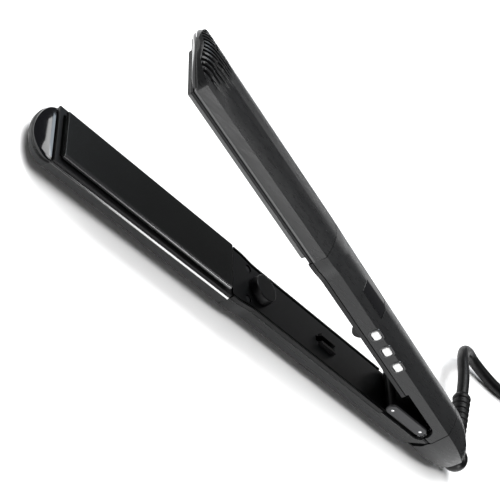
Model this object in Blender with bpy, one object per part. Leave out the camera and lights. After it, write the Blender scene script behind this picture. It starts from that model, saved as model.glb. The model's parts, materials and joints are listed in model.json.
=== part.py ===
"""Flat iron: two hinged arms with heated plates, a tail housing and a swivelling mains cord.

Each arm is drawn in its own frame, in millimetres: u runs from the hinge to the tip, y across the
arm, and h outward from the plane where the two plates meet. The blender objects are in metres, +Z up.
"""

import math

import bmesh
import bpy
from mathutils import Matrix, Vector

MM = 0.001

# ---- Driving dimensions, millimetres and degrees ----
OPEN_ANGLE = math.radians(13.1)
ARM_DEPTH = 16.0        # from the closing plane to an arm's outermost face
TIP_U = 264.6
TAPER_END_U, BARREL_TAPER = 238.0, 1.2
TIP_FALL_U, TIP_ROUND_U = 252.0, 256.5
SEAM_U = 146.3          # joint between the barrel cover and the handle cover
HANDLE_HALF = 13.3
BARREL_HALF_HEEL = 14.9
BARREL_HALF_TIP = 15.95
NECK_START_U, NECK_END_U = 131.0, 143.0
SHELL_WALL = 1.6
SHELL_EDGE_H = 4.6      # inner edge of the outer covers
GAP = 0.3
PLATE_HEEL_U, PLATE_TIP_U = 149.5, 253.5
PLATE_HALF = 12.0
RIM_H = 2.9             # edge of the plate frame, next to the plate
COVER_H = 2.4           # inner face of the handle
CAP_EDGE_U, CAP_HALF, CAP_REACH, CAP_H = 256.9, 15.35, 7.3, 4.8
BOSS_U, BOSS_R, BOSS_TOP_H = 128.0, 7.2, -2.0
SCREW_U, SCREW_Y = 135.7, 8.8
GUIDE_U, FIN_R, FIN_CENTRE_H = 78.5, 4.7, -0.7
FIN_HALF = 0.9
BADGE_U0, BADGE_U1, BADGE_H, BADGE_R = 8.0, 31.4, -1.7, 3.3
LOWER_CLEAR_U, CONTROL_CLEAR_U = 33.5, 38.0
RECESS_R = 5.25
PIN_R = 1.6
LUG_HALF, LUG_R = 3.6, 4.6
CHEEK_INNER, CHEEK_OUTER = 7.6, 9.0
HOUSING_END_U = -33.6
AXIS_H = 1.6            # the cord swivel's axis, above the control arm's closing plane
BALL_U, BALL_R = -39.2, 6.7
NECK_R = 3.3
RELIEF_LENGTH, RELIEF_R0, RELIEF_R1 = 34.0, 4.2, 5.0
DISPLAY_U0, DISPLAY_U1 = 91.7, 113.0
BUTTON_US = {"button_power": 86.5, "button_plus": 73.5, "button_minus": 60.4}
BUTTON_H, BUTTON_LONG, BUTTON_TALL = 9.0, 5.8, 3.7
CORD_D = 6.5
COIL_MID_R, COIL_WIDE, COIL_HIGH = 36.0, 19.5, 26.0
PLUG_LONG, PLUG_WIDE, PLUG_TALL = 36.0, 24.0, 17.0

PIVOT = Vector((109.7, 0.0, ARM_DEPTH))


# ---- Outline rules ----
def smooth(t):
    t = min(max(t, 0.0), 1.0)
    return t * t * (3.0 - 2.0 * t)


def half_width(u):
    """Half the arm's width: a slim handle, a shoulder, then a barrel that widens to the tip."""
    if u <= NECK_END_U:
        share = smooth((u - NECK_START_U) / (NECK_END_U - NECK_START_U))
        return HANDLE_HALF + (BARREL_HALF_HEEL - HANDLE_HALF) * share
    share = (u - NECK_END_U) / (PLATE_TIP_U - NECK_END_U)
    return BARREL_HALF_HEEL + (BARREL_HALF_TIP - BARREL_HALF_HEEL) * min(share, 1.0)


def tip_share(u, end_u=TIP_U):
    """How much of the width is left inside the round tip."""
    if u <= TIP_ROUND_U:
        return 1.0
    t = (u - TIP_ROUND_U) / (end_u - TIP_ROUND_U + 0.25)
    return math.sqrt(max(1.0 - t * t, 0.02))


def facets(half, depth, foot, full_depth, full_foot):
    """One half of an arm's faceted outline, from its inner edge to its outer face, as (y, h).

    The full outline is squeezed between this station's own foot and depth."""
    outline = [
        (half - 0.4, full_foot),
        (half, full_foot + 1.0),
        (half * 0.925, full_depth * 0.69),
        (half * 0.62, full_depth * 0.87),
        (half * 0.255, full_depth),
    ]
    squeeze = (depth - foot) / (full_depth - full_foot)
    return [(y, foot + (h - full_foot) * squeeze) for y, h in outline]


def mirrored(chain):
    return chain + [(-y, h) for y, h in reversed(chain)]


def nose_share(u):
    """How far round the nose's quarter circle a station lies: 0 at its start, 1 at the tip."""
    along = max(u - TIP_ROUND_U, 0.0) / (TIP_U - TIP_ROUND_U + 0.2)
    return 1.0 - math.sqrt(1.0 - along * along)


def tip_depth(u):
    """The barrel thins a little towards the tip, then rounds over it."""
    taper = min(max((u - SEAM_U) / (TAPER_END_U - SEAM_U), 0.0), 1.0)
    lead = max(u - TIP_FALL_U, 0.0) / (TIP_U - TIP_FALL_U)
    return ARM_DEPTH - BARREL_TAPER * taper - 0.9 * lead ** 1.5 - 3.4 * nose_share(u)


def barrel_foot(u):
    """Inner edge of the barrel covers, which curves towards the outer face round the tip."""
    if u < TIP_ROUND_U:
        return SHELL_EDGE_H
    along = (u - TIP_ROUND_U) / (TIP_U - TIP_ROUND_U)
    return SHELL_EDGE_H + 1.0 + 3.9 * along


def split_foot(u):
    """Inner edge of the handle covers beside the hinge, where the two arms part."""
    return 0.25 + 0.13 * max(-u, 0.0)


def outer_section(u, foot, full_foot=None):
    half = half_width(u) * tip_share(u)
    full_foot = foot if full_foot is None else full_foot
    return mirrored(facets(half, tip_depth(u), foot, ARM_DEPTH, full_foot))


def inner_section(u, foot, full_foot=None):
    half = (half_width(u) - SHELL_WALL) * tip_share(u, TIP_U - SHELL_WALL)
    full = ARM_DEPTH - SHELL_WALL
    full_foot = foot if full_foot is None else full_foot
    return mirrored(facets(half, tip_depth(u) - SHELL_WALL, foot, full, full_foot))


def lower_edge_u(h):
    """Where the lower arm's cover stops at the hinge, h below the closing plane."""
    return -2.4 + 0.85 * min(max(h, 0.0), 11.0)


def upper_edge_u(h):
    """Where the control arm's cover stops at the tail housing."""
    return -2.7 + 0.15 * min(h, 11.5) - 0.1 * max(h - 11.5, 0.0)


# ---- Building tools ----
def material(name, colour, roughness, metallic=0.0):
    made = bpy.data.materials.new(name)
    made.use_nodes = True
    shader = made.node_tree.nodes["Principled BSDF"]
    shader.inputs["Base Color"].default_value = (*colour, 1.0)
    shader.inputs["Roughness"].default_value = roughness
    shader.inputs["Metallic"].default_value = metallic
    return made


def frame(name, rotation):
    """An empty at the hinge. Its pieces are drawn with the tip towards -X."""
    empty = bpy.data.objects.new(name, None)
    empty.matrix_world = Matrix.Translation(PIVOT * MM) @ rotation
    bpy.context.scene.collection.objects.link(empty)
    return empty


def finish_piece(name, bm, look, parent=None, at=None, smooth_angle=30.0):
    """Turns a bmesh in millimetres into one object, with its origin at `at`."""
    origin = Vector(at) if at else Vector((0, 0, 0))
    bmesh.ops.translate(bm, verts=bm.verts, vec=-origin)
    bmesh.ops.scale(bm, verts=bm.verts, vec=Vector((MM, MM, MM)))
    bmesh.ops.remove_doubles(bm, verts=bm.verts, dist=1e-7)
    bmesh.ops.recalc_face_normals(bm, faces=bm.faces)
    mesh = bpy.data.meshes.new(name)
    bm.to_mesh(mesh)
    bm.free()
    mesh.shade_smooth()
    mesh.set_sharp_from_angle(angle=math.radians(smooth_angle))
    if look:
        mesh.materials.append(look)
    made = bpy.data.objects.new(name, mesh)
    bpy.context.scene.collection.objects.link(made)
    made.location = origin * MM
    made.parent = parent
    return made


def add_loft(bm, rings):
    """Skins closed rings of equal length and closes both ends."""
    loops = [[bm.verts.new(point) for point in ring] for ring in rings]
    for before, after in zip(loops, loops[1:]):
        count = len(before)
        for i in range(count):
            j = (i + 1) % count
            bm.faces.new((before[i], before[j], after[j], after[i]))
    bm.faces.new(loops[0])
    bm.faces.new(loops[-1])


def loft(sections):
    """A bmesh through cross-sections given as {u: [(y, h), ...]}."""
    bm = bmesh.new()
    add_loft(bm, [[(-u, y, h) for y, h in outline] for u, outline in sections])
    return bm


def side_slab(outline, y0, y1):
    """A bmesh of an outline in (u, h) that runs across the arm from y0 to y1."""
    bm = bmesh.new()
    add_loft(bm, [[(-u, y, h) for u, h in outline] for y in (y0, y1)])
    return bm


def face_slab(outline, h0, h1, share=1.0):
    """A bmesh of an outline in (u, y) that rises from h0 to h1."""
    middle_u = sum(u for u, _ in outline) / len(outline)
    top = [(middle_u + (u - middle_u) * share, y * share) for u, y in outline]
    bm = bmesh.new()
    add_loft(bm, [[(-u, y, h0) for u, y in outline], [(-u, y, h1) for u, y in top]])
    return bm


def block(u0, u1, y0, y1, h0, h1):
    return side_slab([(u0, h0), (u1, h0), (u1, h1), (u0, h1)], y0, y1)


def disc(u, v, radius, count=24):
    turn = 2.0 * math.pi / count
    return [(u + radius * math.cos(i * turn), v + radius * math.sin(i * turn)) for i in range(count)]


def hull(points):
    """The convex outline round some points."""
    ordered = sorted(set(points))

    def chain(run):
        kept = []
        for p in run:
            while len(kept) > 1:
                (ax, ay), (bx, by) = kept[-2:]
                if (bx - ax) * (p[1] - ay) - (by - ay) * (p[0] - ax) > 1e-9:
                    break
                kept.pop()
            kept.append(p)
        return kept[:-1]

    return chain(ordered) + chain(ordered[::-1])


def turned(profile, steps=24, centre_h=0.0):
    """A bmesh turned about the line y = 0, h = centre_h, from a closed profile of (u, radius)."""
    bm = bmesh.new()
    rings = []
    for u, radius in profile:
        if radius < 1e-6:
            rings.append([bm.verts.new((-u, 0.0, centre_h))])
            continue
        rings.append([bm.verts.new((-u, y, h)) for y, h in disc(0.0, centre_h, radius, steps)])
    closed = profile[0][1] > 1e-6
    pairs = list(zip(rings, rings[1:])) + ([(rings[-1], rings[0])] if closed else [])
    for before, after in pairs:
        for i in range(steps):
            j = (i + 1) % steps
            corners = [before[i % len(before)], before[j % len(before)]]
            corners += [after[j % len(after)], after[i % len(after)]]
            bm.faces.new(list(dict.fromkeys(corners)))
    return bm


def cut(piece, name, bm, parent):
    """Takes a shape away from a piece. The cutter stays in the file, hidden."""
    cutter = finish_piece(name, bm, None, parent)
    cutter.hide_render = True
    cutter.display_type = "WIRE"
    modifier = piece.modifiers.new(name, "BOOLEAN")
    modifier.operation = "DIFFERENCE"
    modifier.object = cutter
    modifier.solver = "EXACT"


def join(piece, name, bm, parent):
    """Adds a shape to a piece, as one closed body."""
    added = finish_piece(name, bm, None, parent)
    added.hide_render = True
    added.display_type = "WIRE"
    modifier = piece.modifiers.new(name, "BOOLEAN")
    modifier.operation = "UNION"
    modifier.object = added
    modifier.solver = "EXACT"


# ---- Arm pieces, made for both arms ----
def barrel_stations():
    reach = TIP_U - TIP_ROUND_U
    round_end = [TIP_ROUND_U + reach * math.sin(math.radians(a)) for a in range(15, 85, 10)]
    return [SEAM_U + GAP, TAPER_END_U, TIP_FALL_U, TIP_ROUND_U - 0.3, TIP_ROUND_U] + round_end + [TIP_U]


def barrel_cover(arm, parent, look):
    """The outer shell round the heated part, closed at the tip."""
    shell = finish_piece(
        f"{arm}_barrel_cover",
        loft([(u, outer_section(u, barrel_foot(u), SHELL_EDGE_H)) for u in barrel_stations()]),
        look,
        parent,
    )
    last = TIP_U - SHELL_WALL - 0.4
    stations = [SEAM_U - 2.0] + [u for u in barrel_stations()[1:] if u < last] + [last]
    hollow = loft([(u, inner_section(u, barrel_foot(u) - 2.0, SHELL_EDGE_H - 2.0)) for u in stations])
    cut(shell, f"cut_{arm}_barrel", hollow, parent)


def handle_stations():
    neck = [NECK_START_U + (NECK_END_U - NECK_START_U) * i / 5 for i in range(6)]
    return [-10.0, 0.0, 40.0] + neck + [SEAM_U]


def handle_cover(arm, parent, look, edge_u, edge_hs, clear_u, recess_h, recess_at):
    """The outer shell round the handle, shaped round the side badge and the tail housing."""
    shell = finish_piece(
        f"{arm}_handle_cover",
        loft([(u, outer_section(u, split_foot(u))) for u in handle_stations()]),
        look,
        parent,
    )
    stations = [-14.0] + handle_stations()[1:-1] + [SEAM_U + 2.0]
    cut(shell, f"cut_{arm}_handle", loft([(u, inner_section(u, -2.0)) for u in stations]), parent)
    front = block(clear_u, SEAM_U + 2.0, -20.0, 20.0, -3.0, SHELL_EDGE_H)
    cut(shell, f"cut_{arm}_edge", front, parent)
    recess = block(recess_at[0], clear_u + 1.0, -20.0, 20.0, -9.0, recess_h)
    cut(shell, f"cut_{arm}_recess", recess, parent)
    round_end = side_slab(disc(*recess_at, RECESS_R, 32), -20.0, 20.0)
    cut(shell, f"cut_{arm}_recess_end", round_end, parent)
    behind = [(edge_u(h), h) for h in edge_hs]
    behind += [(-30.0, edge_hs[-1]), (-30.0, edge_hs[0])]
    cut(shell, f"cut_{arm}_end", side_slab(behind, -20.0, 20.0), parent)
    return shell


def plate_frame(arm, parent, look):
    """The heat-proof tray under the plate. Its rim shows beside the plate."""
    stations = [SEAM_U + 0.6, PLATE_TIP_U, CAP_EDGE_U - 0.5]
    sections = []
    for u in stations:
        half = half_width(u) - 0.25
        top = SHELL_EDGE_H - GAP
        chain = [(half, RIM_H), (half, top), (half - 2.3, top), (half - 2.5, 6.2), (half - 3.9, 9.6)]
        sections.append((u, mirrored(chain)))
    tray = finish_piece(f"{arm}_plate_frame", loft(sections), look, parent)
    well = block(PLATE_HEEL_U - 0.6, PLATE_TIP_U + 0.6, -11.7, 11.7, -1.0, 5.6)
    cut(tray, f"cut_{arm}_well", well, parent)
    pocket = block(PLATE_HEEL_U + 6.0, PLATE_TIP_U - 6.0, -8.8, 8.8, 5.0, 8.2)
    cut(tray, f"cut_{arm}_pocket", pocket, parent)


def plate(arm, parent, look):
    lip = PLATE_HALF + 1.0
    chain = [(PLATE_HALF - 0.8, 4.6), (PLATE_HALF - 0.8, 2.2), (lip, 2.2), (lip, 0.95)]
    chain += [(lip - 0.3, 0.4), (PLATE_HALF, 0.15)]
    sections = [(u, mirrored(chain)) for u in (PLATE_HEEL_U, PLATE_TIP_U)]
    finish_piece(f"{arm}_plate", loft(sections), look, parent)


def heater(arm, parent, look, bracket_look):
    """A ceramic heater on the back of the plate, held by a spring bracket."""
    bm = block(PLATE_HEEL_U + 8, PLATE_TIP_U - 8, -8.0, 8.0, 4.9, 6.2)
    finish_piece(f"{arm}_heater", bm, look, parent)
    bm = block(PLATE_HEEL_U + 20, PLATE_TIP_U - 20, -6.0, 6.0, 6.5, 7.3)
    finish_piece(f"{arm}_heater_bracket", bm, bracket_look, parent)


def tip_cap(arm, parent, look):
    """The glossy domed cap that closes the tip beside the plate, and the plug under it."""
    end_h = barrel_foot(CAP_EDGE_U + CAP_REACH) - GAP - 0.4
    sections = []
    for angle in range(0, 86, 8):
        u = CAP_EDGE_U + CAP_REACH * math.sin(math.radians(angle))
        half = CAP_HALF * math.cos(math.radians(angle))
        foot = barrel_foot(u) - GAP
        face = CAP_H + (end_h - CAP_H) * (1.0 - math.cos(math.radians(angle))) ** 0.8
        chain = [(half, foot), (half * 0.97, (face + foot) / 2.0), (half * 0.88, face)]
        sections.append((u, mirrored(chain)))
    cap = finish_piece(f"{arm}_tip_cap", loft(sections), look, parent)
    half = CAP_HALF - SHELL_WALL - 0.7
    turns = [math.radians(angle) for angle in range(-90, 91, 15)]
    neck = [(CAP_EDGE_U + 5.0 * math.cos(a), half * math.sin(a)) for a in turns]
    join(cap, f"add_{arm}_cap_plug", face_slab(neck, CAP_H + 3.2, CAP_H + 0.4), parent)


def inner_cover(arm, parent, look, from_u):
    """The inner face of the handle, with a groove along each side and a raised rim."""
    sections = []
    for u in [from_u] + [s for s in handle_stations() if s > max(from_u, 41.0)]:
        half = half_width(u) - 0.25
        chain = [
            (half - 1.9, COVER_H),
            (half - 1.9, COVER_H + 1.1),
            (half - 0.9, COVER_H + 1.1),
            (half - 0.9, COVER_H - 0.2),
            (half, COVER_H - 0.2),
            (half, SHELL_EDGE_H - GAP),
            (half - 2.3, SHELL_EDGE_H - GAP),
            (half - 2.3, SHELL_EDGE_H + 1.0),
        ]
        sections.append((u, mirrored(chain)))
    cover = finish_piece(f"{arm}_inner_cover", loft(sections), look, parent)
    for side in (-1, 1):
        bm = face_slab(disc(SCREW_U, side * SCREW_Y, 2.0, 16), COVER_H - 1.0, COVER_H + 1.6)
        cut(cover, f"cut_{arm}_screw_{side + 1}", bm, parent)
    return cover


def cover_screws(arm, parent, look):
    """Two screws at the bottom of their recesses."""
    for name, side in (("left", -1), ("right", 1)):
        spots = disc(SCREW_U, side * SCREW_Y, 1.6, 14)
        head = face_slab(spots, COVER_H + 1.3, COVER_H + 0.5)
        finish_piece(f"{arm}_cover_screw_{name}", head, look, parent)


# ---- Lower arm ----
def lower_arm(parent, looks):
    barrel_cover("lower", parent, looks["casing"])
    heights = [-4.0, 0.0, 11.0, 18.0]
    casing = looks["casing"]
    handle_cover("lower", parent, casing, lower_edge_u, heights, LOWER_CLEAR_U, 3.4, (6.9, -1.85))
    plate_frame("lower", parent, looks["frame"])
    cover = inner_cover("lower", parent, looks["frame"], 6.2)
    for side in (-1, 1):
        y0, y1 = sorted((side * (HANDLE_HALF - SHELL_WALL - 0.8), side * 20.0))
        beside = block(0.0, LOWER_CLEAR_U + GAP, y0, y1, -2.0, 9.0)
        cut(cover, f"cut_lower_step_{side + 1}", beside, parent)
    slot = block(GUIDE_U - 7.5, GUIDE_U + 7.5, -1.5, 1.5, -2.0, 9.0)
    cut(cover, "cut_lower_guide_slot", slot, parent)
    boss = face_slab(disc(BOSS_U, 0.0, BOSS_R, 28), COVER_H - GAP, BOSS_TOP_H, 0.94)
    finish_piece("lower_boss", boss, looks["frame"], parent)
    guide_rails(cover, parent)
    cover_screws("lower", parent, looks["steel"])
    tip_cap("lower", parent, looks["gloss"])
    hinge_core(parent, looks["frame"])
    badges(parent, looks["badge"])
    board = block(46.0, 118.0, -8.5, 8.5, 7.0, 8.6)
    finish_piece("lower_terminal_board", board, looks["board"], parent)


def guide_rails(cover, parent):
    """Two rails beside the slot that lead the fin in, moulded onto the inner cover."""
    rail = [(GUIDE_U - 6.2, COVER_H + 0.8), (GUIDE_U + 6.2, COVER_H + 0.8)]
    rail += [(GUIDE_U + 5.4, 0.4), (GUIDE_U - 5.4, 0.4)]
    for side in (-1, 1):
        y0, y1 = sorted((side * 1.6, side * 3.0))
        join(cover, f"add_guide_rail_{side + 1}", side_slab(rail, y0, y1), parent)


def hinge_core(parent, look):
    """The block on the lower arm that carries the badges and ends in the hinge lug."""
    radius = BADGE_R - 0.4
    feet = [(BADGE_U0 + 1.0, 2.0), (BADGE_U1, 2.0)]
    outline = hull(disc(BADGE_U0, BADGE_H, radius, 20) + disc(BADGE_U1, BADGE_H, radius, 20) + feet)
    core = finish_piece("lower_hinge_core", side_slab(outline, -11.3, 11.3), look, parent)
    tongue = hull(disc(BADGE_U0, BADGE_H, radius - 0.2, 20) + disc(0.0, 0.0, LUG_R, 28))
    join(core, "add_lug", side_slab(tongue, -LUG_HALF, LUG_HALF), parent)
    bore = side_slab(disc(0.0, 0.0, PIN_R + GAP, 24), -LUG_HALF - 1, LUG_HALF + 1)
    cut(core, "cut_lug_bore", bore, parent)


def badges(parent, look):
    """A plain round-ended badge on each side of the hinge core."""
    outline, inner = [
        hull(disc(BADGE_U0, BADGE_H, radius, 20) + disc(BADGE_U1, BADGE_H, radius, 20))
        for radius in (BADGE_R, BADGE_R - 0.6)
    ]
    for name, side in (("side_badge_near", 1), ("side_badge_far", -1)):
        bm = bmesh.new()
        rings = [(outline, 11.6), (outline, 12.4), (inner, 12.9)]
        add_loft(bm, [[(-u, side * y, h) for u, h in ring] for ring, y in rings])
        finish_piece(name, bm, look, parent)


# ---- Control arm ----
def control_arm(parent, looks):
    barrel_cover("control", parent, looks["casing"])
    heights = [-4.0, 0.0, 11.5, 18.0]
    casing = looks["casing"]
    shell = handle_cover("control", parent, casing, upper_edge_u, heights, CONTROL_CLEAR_U, 5.8, (7.7, 0.5))
    plate_frame("control", parent, looks["frame"])
    cover = inner_cover("control", parent, looks["frame"], CONTROL_CLEAR_U + 0.5)
    guide_fin(cover, parent)
    cover_screws("control", parent, looks["steel"])
    tip_cap("control", parent, looks["gloss"])
    display_window(shell, parent, looks["gloss"])
    buttons(shell, parent, looks["button"])
    finish_piece("control_board", block(48.0, 118.0, -8.8, 8.8, 6.6, 8.2), looks["board"], parent)
    strip = block(56.0, 91.0, -9.3, -8.1, 8.6, 10.4)
    finish_piece("button_switch_strip", strip, looks["board"], parent)
    module = block(DISPLAY_U0 + 1, DISPLAY_U1 - 1, -5.0, 3.5, 9.2, 11.8)
    finish_piece("display_module", module, looks["board"], parent)


def guide_fin(cover, parent):
    """A half-round fin on the control arm's inner cover. It drops between the guide rails."""
    root = [(GUIDE_U - FIN_R, COVER_H + 1.0), (GUIDE_U + FIN_R, COVER_H + 1.0)]
    outline = hull(root + disc(GUIDE_U, FIN_CENTRE_H, FIN_R - 0.05, 28))
    join(cover, "add_guide_fin", side_slab(outline, -FIN_HALF, FIN_HALF), parent)


def display_outline(grow):
    """The window's cross-section, bent over the ridge between the top and the near chamfer."""
    ridge_y = -HANDLE_HALF * 0.255
    low_y, low_h = -HANDLE_HALF * 0.62, ARM_DEPTH * 0.87
    share = 0.96 + grow * 0.25
    low = (ridge_y + (low_y - ridge_y) * share, ARM_DEPTH + (low_h - ARM_DEPTH) * share)
    far_y = -ridge_y - 0.3 + grow
    return [(far_y, ARM_DEPTH + grow), (ridge_y, ARM_DEPTH + grow), (low[0], low[1] + grow),
            (low[0] + 0.5, low[1] - 1.5 - grow), (ridge_y, ARM_DEPTH - 1.7 - grow),
            (far_y, ARM_DEPTH - 1.7 - grow)]


def display_window(shell, parent, look):
    sections = [(u, display_outline(0.0)) for u in (DISPLAY_U0, DISPLAY_U1)]
    finish_piece("display_window", loft(sections), look, parent)
    hole = [(u, display_outline(0.3)) for u in (DISPLAY_U0 - 0.3, DISPLAY_U1 + 0.3)]
    cut(shell, "cut_display", loft(hole), parent)


def side_facet_axis():
    """The near side facet's outward direction, and a point on it at the buttons' height."""
    foot_h, top_h = 1.2, ARM_DEPTH * 0.69
    lean = HANDLE_HALF * 0.075 / (top_h - foot_h)
    outward = Vector((0.0, -1.0, lean)).normalized()
    y = -(HANDLE_HALF - lean * (BUTTON_H - foot_h))
    return outward, Vector((0.0, y, BUTTON_H))


def button_prism(u, grow, depth_in, depth_out):
    """A round-ended prism square to the side facet."""
    outward, centre = side_facet_axis()
    up = Vector((0.0, outward.z, -outward.y))
    along, tall, radius = BUTTON_LONG / 2.0 - 1.3, BUTTON_TALL / 2.0 - 1.3, 1.3 + grow
    corners = [(a, b) for a in (-along, along) for b in (-tall, tall)]
    outline = hull([point for a, b in corners for point in disc(a, b, radius, 16)])
    bm = bmesh.new()
    rings = []
    for depth in (depth_in, depth_out):
        base = centre + outward * depth
        rings.append([(-u + a, base.y + up.y * b, base.z + up.z * b) for a, b in outline])
    add_loft(bm, rings)
    return bm


def buttons(shell, parent, look):
    """Three press buttons on the near side, each sunk in its own hole."""
    for name, u in BUTTON_US.items():
        _, centre = side_facet_axis()
        bm = button_prism(u, 0.0, -2.2, 0.35)
        finish_piece(name, bm, look, parent, at=(-u, centre.y, centre.z))
        cut(shell, f"cut_{name}", button_prism(u, 0.35, -4.0, 2.0), parent)


# ---- Tail: housing, hinge, swivel ----
def housing_section(u, inset=0.0):
    t = min(max(u / HOUSING_END_U, 0.0), 1.0)
    bulge = 1.0 - t ** 2.4
    half = 7.8 + 5.5 * bulge - inset
    above = 9.4 + (ARM_DEPTH - 9.4) * bulge - inset
    below = 6.0 + 7.2 * (1.0 - t ** 1.2) + 0.2 * max(u, 0.0) - inset
    above_points = [(half, 2.0), (half * 0.925, above * 0.69)]
    above_points += [(half * 0.62, above * 0.87), (half * 0.255, above)]
    below_points = [(half * 0.255, -below), (half * 0.62, -below * 0.87), (half * 0.925, -below * 0.62)]
    chain = below_points + [(half, -0.5)] + above_points
    return chain + [(-y, h) for y, h in reversed(chain)]


def to_control_frame(u, h_below):
    """A point of the lower arm, at rest, in the control arm's (u, h)."""
    c, s = math.cos(OPEN_ANGLE), math.sin(OPEN_ANGLE)
    x, z = -u, -h_below
    return (-(x * c - z * s), x * s + z * c)


def housing_front():
    """Everything in front of the tail housing, in the control arm's (u, h)."""
    above = [(upper_edge_u(h) - 0.5, h) for h in (18.0, 11.5, 1.0)]
    below = []
    for h in (1.0, 2.0, 3.0, 4.0, 5.5, 11.0, 19.0):
        crescent = 0.45 + 3.9 * smooth(h / 5.5)
        below.append(to_control_frame(lower_edge_u(h) - crescent, h))
    return above + below + [(40.0, -20.0), (40.0, 18.0)]


def tail_housing(parent, look):
    stations = [8.0, 0.0, -6.0, -12.0, -18.0, -23.0, -27.0, -30.5, HOUSING_END_U]
    shell = finish_piece("tail_housing", loft([(u, housing_section(u)) for u in stations]), look, parent)
    hollow = [(12.0, housing_section(8.0, 1.8))]
    hollow += [(u, housing_section(u, 1.8)) for u in stations[1:-1]]
    cut(shell, "cut_housing_hollow", loft(hollow), parent)
    bore = turned([(-26.0, 0.0), (-26.0, 5.4), (-40.0, 5.4), (-40.0, 0.0)], 28, AXIS_H)
    cut(shell, "cut_housing_bore", bore, parent)
    cut(shell, "cut_housing_front", side_slab(housing_front(), -20.0, 20.0), parent)


def end_ring(parent, look):
    """The bright ring where the swivel leaves the housing."""
    inner, outer = NECK_R + 0.3, 5.1
    start = HOUSING_END_U + 3.0
    profile = [(start, outer), (HOUSING_END_U - 0.3, outer), (HOUSING_END_U - 0.3, outer + 1.2),
               (HOUSING_END_U - 1.1, outer + 1.0), (HOUSING_END_U - 1.1, inner), (start, inner)]
    finish_piece("end_ring", turned(profile, 32, AXIS_H), look, parent)


def hinge_bracket(parent, look):
    """A bent steel bracket whose two cheeks hold the pin on both sides of the lug."""
    inner, outer, foot, web = CHEEK_INNER, CHEEK_OUTER, -4.2, 9.0
    chain = [(outer, foot), (outer, web + 1.4), (-outer, web + 1.4), (-outer, foot)]
    chain += [(-inner, foot), (-inner, web), (inner, web), (inner, foot)]
    bracket = finish_piece("hinge_bracket", loft([(u, chain) for u in (-4.4, 2.8)]), look, parent)
    bore = side_slab(disc(0.0, 0.0, PIN_R + GAP, 24), -20.0, 20.0)
    cut(bracket, "cut_bracket_bore", bore, parent)


def hinge_pin(parent, look):
    bm = side_slab(disc(0.0, 0.0, PIN_R, 24), -CHEEK_OUTER - 0.8, CHEEK_OUTER + 0.8)
    finish_piece("hinge_pin", bm, look, parent)


def opening_spring(parent, look):
    """A torsion spring round the pin, between the lug and a cheek, that swings the arms open."""
    turns, per_turn, radius, wire = 2.5, 14, 2.7, 0.38
    start_y = LUG_HALF + 0.75
    points = []
    for i in range(int(turns * per_turn) + 1):
        angle = 2.0 * math.pi * i / per_turn
        points.append((radius * math.cos(angle), start_y + 0.95 * i / per_turn, radius * math.sin(angle)))
    points = [(points[0][0], points[0][1], -5.5)] + points
    points.append((points[-1][0], points[-1][1], 8.0))
    curve = bpy.data.curves.new("opening_spring", "CURVE")
    curve.dimensions = "3D"
    curve.bevel_depth = wire * MM
    curve.bevel_resolution = 1
    curve.use_fill_caps = True
    spline = curve.splines.new("POLY")
    spline.points.add(len(points) - 1)
    for spot, (x, y, z) in zip(spline.points, points):
        spot.co = (x * MM, y * MM, z * MM, 1.0)
    curve.materials.append(look)
    spring = bpy.data.objects.new("opening_spring", curve)
    bpy.context.scene.collection.objects.link(spring)
    spring.parent = parent


def swivel(parent, looks):
    """The cord swivel: a flanged neck inside the ring and a round knuckle outside it."""
    steps = [math.radians(55.0 + 12.5 * i) for i in range(10)]
    ball = [(BALL_U + BALL_R * math.cos(a), BALL_R * math.sin(a)) for a in steps]
    profile = [(-29.0, 0.0), (-29.0, 4.6), (-30.3, 4.6), (-30.3, NECK_R)]
    profile += [(HOUSING_END_U - 1.5, NECK_R)] + ball + [(BALL_U - BALL_R, 0.0)]
    centre = (-BALL_U, 0.0, AXIS_H)
    finish_piece("cord_swivel", turned(profile, 28, AXIS_H), looks["frame"], parent, at=centre)


def ball_centre():
    c, s = math.cos(OPEN_ANGLE), math.sin(OPEN_ANGLE)
    x, z = -BALL_U, AXIS_H
    return PIVOT + Vector((x * c + z * s, 0.0, -x * s + z * c))


def relief_axis():
    return Vector((0.12, 1.0, 0.15)).normalized()


def strain_relief(look):
    """A tapered, ribbed sleeve that leads the cord out of the swivel, away across the arm."""
    axis = relief_axis()
    base = ball_centre() + axis * (BALL_R + 0.25)
    across = axis.cross(Vector((0, 0, 1))).normalized()
    up = across.cross(axis)
    ribs = 8
    stops = [(0.0, RELIEF_R0 - 1.2), (0.5, RELIEF_R0)]
    for i in range(ribs):
        at = 5.0 + i * 3.4
        radius = RELIEF_R0 + (RELIEF_R1 - RELIEF_R0) * at / RELIEF_LENGTH
        stops += [(at, radius), (at + 0.5, radius - 0.6), (at + 1.4, radius - 0.6), (at + 1.9, radius)]
    stops += [(RELIEF_LENGTH - 2.0, RELIEF_R1), (RELIEF_LENGTH - 0.6, RELIEF_R1 - 0.7)]
    stops.append((RELIEF_LENGTH, 3.7))
    bm = bmesh.new()
    rings = []
    for reach, radius in stops:
        ring = []
        for a, b in disc(0.0, 0.0, radius, 20):
            ring.append(base + axis * reach + across * a + up * b)
        rings.append(ring)
    add_loft(bm, rings)
    finish_piece("strain_relief", bm, look)


# ---- Cord, coil and plug, in the world's own axes ----
def relief_end():
    return ball_centre() + relief_axis() * (BALL_R + 0.25 + RELIEF_LENGTH)


def coil_centre():
    return Vector((PIVOT.x + 152.0, 44.0, 0.0))


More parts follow.
